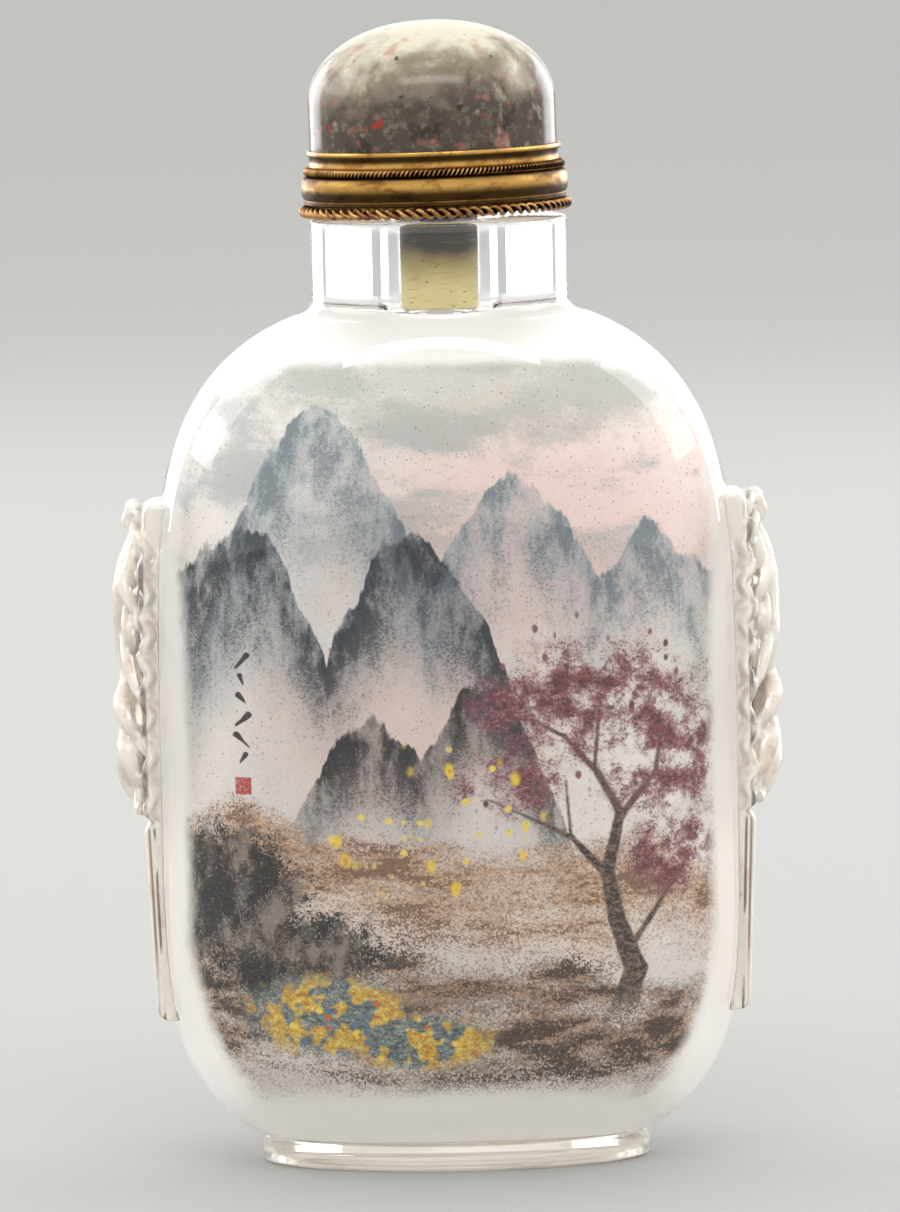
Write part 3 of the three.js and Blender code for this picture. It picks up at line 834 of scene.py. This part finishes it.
def cork_material():
    """Fine-grained cork, with painted light: cream low down, where the frosted wall lights it, and painted
    shade dark towards the collar.
    """
    s = Shader("cork")
    streak = s.noise(0.8, detail=4, roughness=0.6, stretch=(1, 1, 7), seed=2)
    height = s.z + (s.noise(0.35, detail=3, seed=4) - 0.5) * 2.5
    # painted light and shade: cream low down, darker up the cork, near black in the collar's shade
    body = s.mix(tone("#f7e7a2"), tone("#b39f5c"), s.ramp(height, 66.6, 69.4))
    body = s.mix(body, tone("#40382a"), s.ramp(height, 68.8, 70.4))
    body = s.mix(body, tone("#a98a4e"), s.ramp(streak, 0.56, 0.7) * 0.45)
    pits, pick = s.cells(1.3, stretch=(1, 1, 3), seed=6)
    body = s.mix(body, tone("#5b4428"), s.ramp(pits, 0.2, 0.1) * s.ramp(pick, 0.6, 0.65))
    s.set(Base_Color=body, Roughness=0.8)
    s.bump(streak, 0.05, 0.5)
    return s.material


class Painting(Shader):
    """Brushwork over the cavity's wall: across is x and up is z, in millimetres."""

    def __init__(self, name, paper):
        super().__init__(name)
        self.colour = paper
        brushed, dotted = self.noise(6.0, detail=2, roughness=0.7, seed=21), self.cells(8, seed=25)[1]
        self.grain = brushed * 0.65 + dotted * 0.35
        self.fleck = self.noise(2.3, detail=3, roughness=0.65, stretch=(0.7, 1, 1.5), seed=24)
        self.wobble = (self.noise(0.8, detail=3, roughness=0.6, seed=22) - 0.5) * 2
        self.front = self.ramp(self.y, 0.5, -0.5)

    def lay(self, colour, share):
        """Lays a colour over what is painted so far."""
        self.colour = self.mix(self.colour, colour, share)

    def broken(self, region):
        """The region, broken into specks where it thins out."""
        return self.ramp(region * 1.5 + (self.grain - 0.5) * 3, 0.35, 1.1) * self.ramp(region, 0, 0.2)

    def stipple(self, region, colour, dark, light):
        """A wash of one colour with dark and light specks on it."""
        self.lay(colour, self.broken(region) * 0.5 + region * 0.45)
        self.lay(dark, region * self.ramp(self.fleck + (self.grain - 0.5) * 0.6, 0.5, 0.68) * 0.9)
        self.lay(light, region * self.ramp(self.fleck + (self.grain - 0.5) * 0.6, 0.45, 0.32) * 0.7)

    def patch(self, across, up, wide, high, ragged=0.35, soft=0.45):
        """1 inside a ragged soft-edged oval, 0 outside."""
        reach = (((self.x - across) / wide) ** 2 + ((self.z - up) / high) ** 2) ** 0.5
        return self.ramp(reach + self.wobble * ragged, 1 + soft / 2, 1 - soft / 2)

    def patches(self, ovals, ragged=0.35, soft=0.45):
        """Several ovals of (across, up, wide, high) run together."""
        return highest([self.patch(*oval, ragged, soft) for oval in ovals])

    def stroke(self, start, end, width, end_width, edge=0.07):
        """1 on a straight brush stroke that tapers from width to end_width."""
        (x0, z0), (x1, z1) = start, end
        dx, dz = x1 - x0, z1 - z0
        from_x, from_z = self.x - x0, self.z - z0
        along = ((from_x * dx + from_z * dz) / (dx * dx + dz * dz)).most(0).least(1)
        off = ((from_x - along * dx) ** 2 + (from_z - along * dz) ** 2) ** 0.5
        half = along * ((end_width - width) / 2) + width / 2
        return self.ramp(off - half + self.wobble * 0.14, edge, -edge)

    def skyline(self, base, peaks, seed):
        """Height of a range of rounded peaks, each (across, up, wide)."""
        line = highest([
            up - (((self.x - across) / wide).size() ** 1.6) * (up - base) for across, up, wide in peaks
        ])
        crag = self.noise(0.28, detail=4, roughness=0.6, stretch=(1, 1, 0.3), seed=seed)
        return line + (crag - 0.5) * 7

    def mountains(self, base, peaks, colour, dark, depth, strength, seed):
        """A range washed dark along its skyline and fading down into mist."""
        below = self.skyline(base, peaks, seed) - self.z
        rock = self.noise(0.45, detail=5, roughness=0.65, stretch=(1, 1, 0.4), seed=seed + 1)
        face = self.ramp(below, -0.12, 0.35)
        fade = self.ramp(below + (rock - 0.5) * depth * 0.8, depth, depth * 0.06)
        mist = self.ramp(self.z, base - 9, base + 4)
        wash = face * fade * mist * (0.5 + self.ramp(rock, 0.35, 0.62) * 0.5) * strength
        vein = wash * self.ramp(rock, 0.42, 0.6)
        self.lay(colour, self.broken(wash) * 0.15 + wash * 0.85)
        self.lay(dark, self.broken(vein) * 0.4 + vein * 0.45)

    def dabs(self, scale, size, region, keep, colours, seed, stretch=(1, 1, 1)):
        """Scattered dabs in a region; keep is the share of the places that get one."""
        off, pick = self.cells(scale, stretch=stretch, seed=seed)
        shape = self.ramp(off / scale + self.wobble * size * 0.3, size, size * 0.5)
        for i, colour in enumerate(colours):
            low = 1 - keep + keep * i / len(colours)
            high = 1 - keep + keep * (i + 1) / len(colours)
            chosen = self.ramp(pick, low - 0.002, low + 0.002) * self.ramp(pick, high + 0.002, high - 0.002)
            self.lay(colour, shape * chosen * region)

    def corner_reach(self):
        """Rises from 0 to 1 towards the cavity's four rounded corners."""
        across = (self.x / CAVITY_HALF_WIDTH).size()
        up = ((self.z - WAIST_Z) / CAVITY_FLOOR_REACH).size()
        return self.ramp(across ** 4 + up ** 5, 0.75, 1.15)


def paint_sky(p):
    """Pink light under grey drifting cloud."""
    p.lay(tone("#f0cfc6"), p.patch(7, 49, 13, 9, 0.5, 1.0) * 0.7)
    p.lay(tone("#edd0c6"), p.patch(-3, 34, 10, 6, 0.5, 1.0) * 0.6)
    drift = p.noise(0.16, detail=4, roughness=0.55, stretch=(0.55, 1, 1.5), seed=31)
    haze = p.ramp(drift, 0.44, 0.62) * p.ramp(p.z, 40, 54)
    p.lay(tone("#9aa3a3"), haze * 0.45 + p.broken(haze) * 0.2)
    p.lay(tone("#b9b9ae"), p.patch(3, 60, 15, 4, 0.9, 1.2) * 0.6)


def paint_mountains(p):
    """Three ranges, the nearer the darker."""
    far = ((-9, 58, 10), (5, 53.5, 9), (15, 49, 7))
    middle = ((-15, 50, 7), (-2.5, 49, 7.5))
    near = ((2.5, 38.5, 6), (-6, 35, 6))
    p.mountains(38, far, tone("#8f9da3"), tone("#65737c"), 15, 0.9, 32)
    p.mountains(36, middle, tone("#3f4e5a"), tone("#161e26"), 15, 1.0, 34)
    p.mountains(27, near, tone("#272b31"), tone("#0b0d10"), 12, 1.0, 36)


def paint_crag(p):
    """An inky rock low on the left, paler where its facets catch light."""
    crag = p.patches(((-17, 21.5, 6, 5), (-11.5, 17, 6, 3.4)), 0.6, 0.7)
    facet = p.noise(0.4, detail=5, roughness=0.65, stretch=(1, 1, 0.6), seed=46)
    p.stipple(crag * 0.9, tone("#3d3531"), tone("#141110"), tone("#857a70"))
    p.lay(tone("#a3988d"), crag * p.ramp(facet, 0.47, 0.4) * 0.55)
    p.lay(tone("#0a090a"), p.broken(crag * p.ramp(facet, 0.47, 0.58)) * 0.9)


def paint_banks(p):
    """Two earth banks with mist between them, the nearer one darker."""
    fold = p.noise(0.3, detail=5, roughness=0.6, stretch=(0.4, 1, 1.9), seed=41)
    for line, depth, colour, dark, light, seed in (
        (26.5, 6.5, tone("#b9926f"), tone("#775642"), tone("#e3c3a5"), 42),
        (17.5, 9.5, tone("#86664b"), tone("#382a21"), tone("#c9a47e"), 44),
    ):
        shore = (p.noise(0.11, detail=3, seed=seed) - 0.5) * 9 - p.x * 0.1 + line
        below = shore - p.z
        bank = p.ramp(below, -0.5, 2.0) * p.ramp(below, depth + 6, depth * 0.5)
        p.stipple(bank * (0.55 + p.ramp(fold, 0.36, 0.58) * 0.45), colour, dark, light)
        p.lay(dark, p.broken(bank * p.ramp(fold, 0.48, 0.62)) * 0.85)


def paint_tree(p):
    """A crooked trunk that fades into the bank, bare twigs and clusters of dull red leaves."""
    bark = p.mix(tone("#2d2321"), tone("#7d6455"), p.ramp(p.fleck + (p.grain - 0.5) * 0.6, 0.42, 0.62))
    rooted = p.ramp(p.z + (p.grain - 0.5) * 6, 10.5, 14)
    for start, end, width, end_width in (
        ((11.6, 10), (13.4, 15.5), 2.3, 1.6), ((13.4, 15.5), (12.1, 19.5), 1.6, 1.25),
        ((12.1, 19.5), (11.5, 23), 1.25, 1.0), ((11.5, 23), (12.5, 27.5), 1.0, 0.75),
        ((12.5, 27.5), (10.9, 30.6), 0.7, 0.5), ((10.9, 30.6), (8.6, 33.4), 0.5, 0.3),
        ((8.6, 33.4), (4.6, 35.6), 0.3, 0.12), ((12.4, 27), (15.0, 30.4), 0.6, 0.38),
        ((15, 30.4), (15.6, 34.6), 0.36, 0.15), ((11.6, 22.6), (9.0, 25.7), 0.65, 0.42),
        ((9.0, 25.7), (6.6, 27.0), 0.42, 0.28), ((6.6, 27), (2.8, 28.8), 0.28, 0.1),
        ((12.9, 17), (15.0, 20.2), 0.5, 0.34), ((15.0, 20.2), (16.8, 23.4), 0.34, 0.15),
        ((10.7, 30.9), (11.2, 36.4), 0.34, 0.12), ((8.9, 25.8), (8.6, 30.0), 0.26, 0.1),
        ((6.2, 34.8), (5.6, 38), 0.22, 0.08),
    ):
        p.lay(bark, p.stroke(start, end, width, end_width, 0.12) * p.front * rooted)
    leaves = (
        (10.5, 36, 6.5, 4), (15.2, 32, 4, 5), (4.6, 30, 3.6, 2.2), (16, 24.5, 2.8, 3), (5.2, 36, 3.4, 2.2),
    )
    crown = p.patches(leaves, 0.45, 0.9) * p.front
    cluster = p.noise(0.55, detail=4, roughness=0.6, seed=51)
    p.stipple(crown * p.ramp(cluster, 0.34, 0.58), tone("#8a4d57"), tone("#4d272e"), tone("#c79aa0"))
    p.stipple(crown * p.ramp(cluster, 0.5, 0.64) * 0.9, tone("#6f353b"), tone("#38191f"), tone("#a3604f"))
    p.dabs(1.3, 0.3, p.patches(((11, 37, 9, 6), (6, 29, 6, 4)), 0.2, 0.4) * p.front, 0.22,
           (tone("#8f5560"), tone("#5e3138")), 54, (1, 1, 0.7))


def paint_flowers(p):
    """Falling yellow petals, and a bed of yellow and blue flowers."""
    fall = p.patch(-1, 27, 8.5, 6, 0.2, 0.2) * p.front
    p.dabs(0.5, 0.72, fall, 0.6, (tone("#f2d23c"),), 61, (1.2, 1, 0.8))
    p.dabs(0.5, 0.36, fall, 0.6, (tone("#d98a1f"),), 61, (1.2, 1, 0.8))
    p.dabs(0.9, 0.36, fall, 0.25, (tone("#f3dc62"),), 63)
    bed = p.patches(((-9, 12.5, 5.5, 2.8), (-2.5, 10.6, 5, 1.9)), 0.35, 0.7) * p.front
    p.stipple(bed, tone("#6d7c7d"), tone("#2f3a3c"), tone("#b9bfa6"))
    clump = p.ramp(p.noise(0.62, detail=2, seed=64), 0.47, 0.56) * bed
    p.stipple(clump, tone("#d8b23a"), tone("#b4601f"), tone("#efe08a"))
    p.dabs(1.1, 0.34, bed, 0.4, (tone("#cf6a24"), tone("#5a7a94"), tone("#f0d55a")), 66)


def paint_marks(p):
    """A column of plain brush dabs and a plain red block: no signs of any script."""
    across, top, pitch, count = -15, 39.8, 1.5, 6
    for i in range(count):
        up = top - i * pitch
        lean = 0.45 * math.sin(i * 2.4 + 1)
        end = (across - lean, up - 0.75 - 0.2 * math.cos(i * 1.7))
        p.lay(tone("#29282a"), p.stroke((across + lean, up), end, 0.42, 0.16, 0.05) * p.front)
    block_z = top - count * pitch - 0.9
    block = p.ramp((p.x - across).size(), 0.58, 0.5) * p.ramp((p.z - block_z).size(), 0.68, 0.6)
    p.lay(tone("#b5312c"), block * p.front * (0.75 + p.ramp(p.grain, 0.4, 0.55) * 0.25))


def painting_material():
    """Misty mountains, earth banks, a red-leaved tree and flowers, on the frosted white wall."""
    p = Painting("inside_painting", tone("#eee8e2"))
    p.lay(tone("#e0dad6"), p.ramp(p.noise(0.1, detail=3, seed=23), 0.45, 0.65))
    paint_sky(p)
    paint_mountains(p)
    paint_banks(p)
    paint_crag(p)
    paint_tree(p)
    paint_flowers(p)
    paint_marks(p)
    specks, pick = p.cells(3.0, seed=71)
    p.lay(tone("#5f5a57"), p.ramp(specks, 0.3, 0.15) * p.ramp(pick, 0.78, 0.82) * 0.5)
    p.lay(tone("#7c7874"), p.ramp(p.grain, 0.56, 0.68) * 0.15)
    side = (p.x / CAVITY_HALF_WIDTH).size() ** 30
    bare = side.most(p.ramp(p.z, 58.5, 64.5)).most(p.ramp(p.z, 10, 4)).most(p.corner_reach())
    bare = p.ramp(bare + p.wobble * 0.1, 0.3, 0.85)
    p.lay(tone("#f9f7f3"), bare)
    # painted glow: the whole film emits a little, and its bare frosted parts most
    painted_glow = p.mix(p.colour, (1.6, 1.56, 1.48), bare)  # light that spreads in the frosted wall
    p.set(Base_Color=p.colour, Roughness=0.65, Emission_Color=painted_glow, Emission_Strength=0.17)
    return p.material


# ---------------------------------------------------------------- stage

FLOOR_RADIUS = 9 / MM


def add_floor(sides=96):
    edge = np.column_stack([outline(FLOOR_RADIUS, FLOOR_RADIUS, 2, sides), np.zeros(sides)])
    floor = mesh_object("floor", edge, [tuple(range(sides))], smooth=False)
    material = bpy.data.materials.new("pale_floor")
    material.use_nodes = True
    surface = material.node_tree.nodes["Principled BSDF"]
    surface.inputs["Base Color"].default_value = (0.33, 0.33, 0.325, 1)
    surface.inputs["Roughness"].default_value = 0.7
    floor.data.materials.append(material)


LIGHT_AIM = Vector((0, 0, 0.045))


def add_light(name, place, size, power):
    data = bpy.data.lights.new(name, "AREA")
    data.shape = "RECTANGLE"
    data.size, data.size_y = size
    data.energy = power
    light = bpy.data.objects.new(name, data)
    light.location = place
    light.rotation_euler = (LIGHT_AIM - Vector(place)).to_track_quat("-Z", "Y").to_euler()
    light.visible_camera = False
    bpy.context.scene.collection.objects.link(light)


def add_studio():
    world = bpy.data.worlds.new("studio")
    bpy.context.scene.world = world
    world.use_nodes = True
    sky = world.node_tree.nodes["Background"]
    sky.inputs["Color"].default_value = (1.0, 0.99, 0.97, 1)
    sky.inputs["Strength"].default_value = 1.32
    add_light("front", (0, -0.75, 0.95), (1.1, 0.26), 5)
    add_light("left", (-0.95, 0.2, 0.62), (0.7, 0.7), 4)
    add_light("right", (0.95, 0.2, 0.62), (0.7, 0.7), 4)
    add_light("back_left", (-0.5, 0.65, 0.18), (0.45, 0.4), 2)
    add_light("back_right", (0.5, 0.65, 0.18), (0.45, 0.4), 2)


# ---------------------------------------------------------------- assembly

def finish_piece(piece, material, node=None):
    piece.data.materials.clear()
    piece.data.materials.append(material)
    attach(piece, "root")
    if node:
        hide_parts(node)


add_camera()
add_floor()
add_studio()
bpy.context.scene.view_settings.view_transform = "Standard"

bottle = crystal_bottle()
finish_piece(bottle, crystal_material(), "bottle")
finish_carving(bottle, ground_crystal_material(), foot_crystal_material())
finish_piece(painted_lining(), painting_material())
finish_piece(seated(stone_cap()), stone_material(), "stopper_dome")
finish_piece(seated(brass_collar()), gilding_material(), "collar")
finish_piece(
    seated(twisted_wire("twisted_wire_upper", UPPER_WIRE_RING, UPPER_WIRE_Z, UPPER_WIRE_RADIUS,
                        UPPER_WIRE_CROSSINGS, 1, steps_per_turn=10, sides=6)),
    wire_material("fine_wire", UPPER_WIRE_RING, UPPER_WIRE_Z, UPPER_WIRE_RADIUS, 7),
    "upper_rope_wire")
finish_piece(
    seated(twisted_wire("twisted_wire_lower", LOWER_WIRE_RING, SEAT_Z, LOWER_WIRE_RADIUS,
                        LOWER_WIRE_CROSSINGS, -1)),
    wire_material("coarse_wire", LOWER_WIRE_RING, SEAT_Z, LOWER_WIRE_RADIUS, 9),
    "lower_rope_wire")
finish_piece(cork(), cork_material(), "cork_plug")
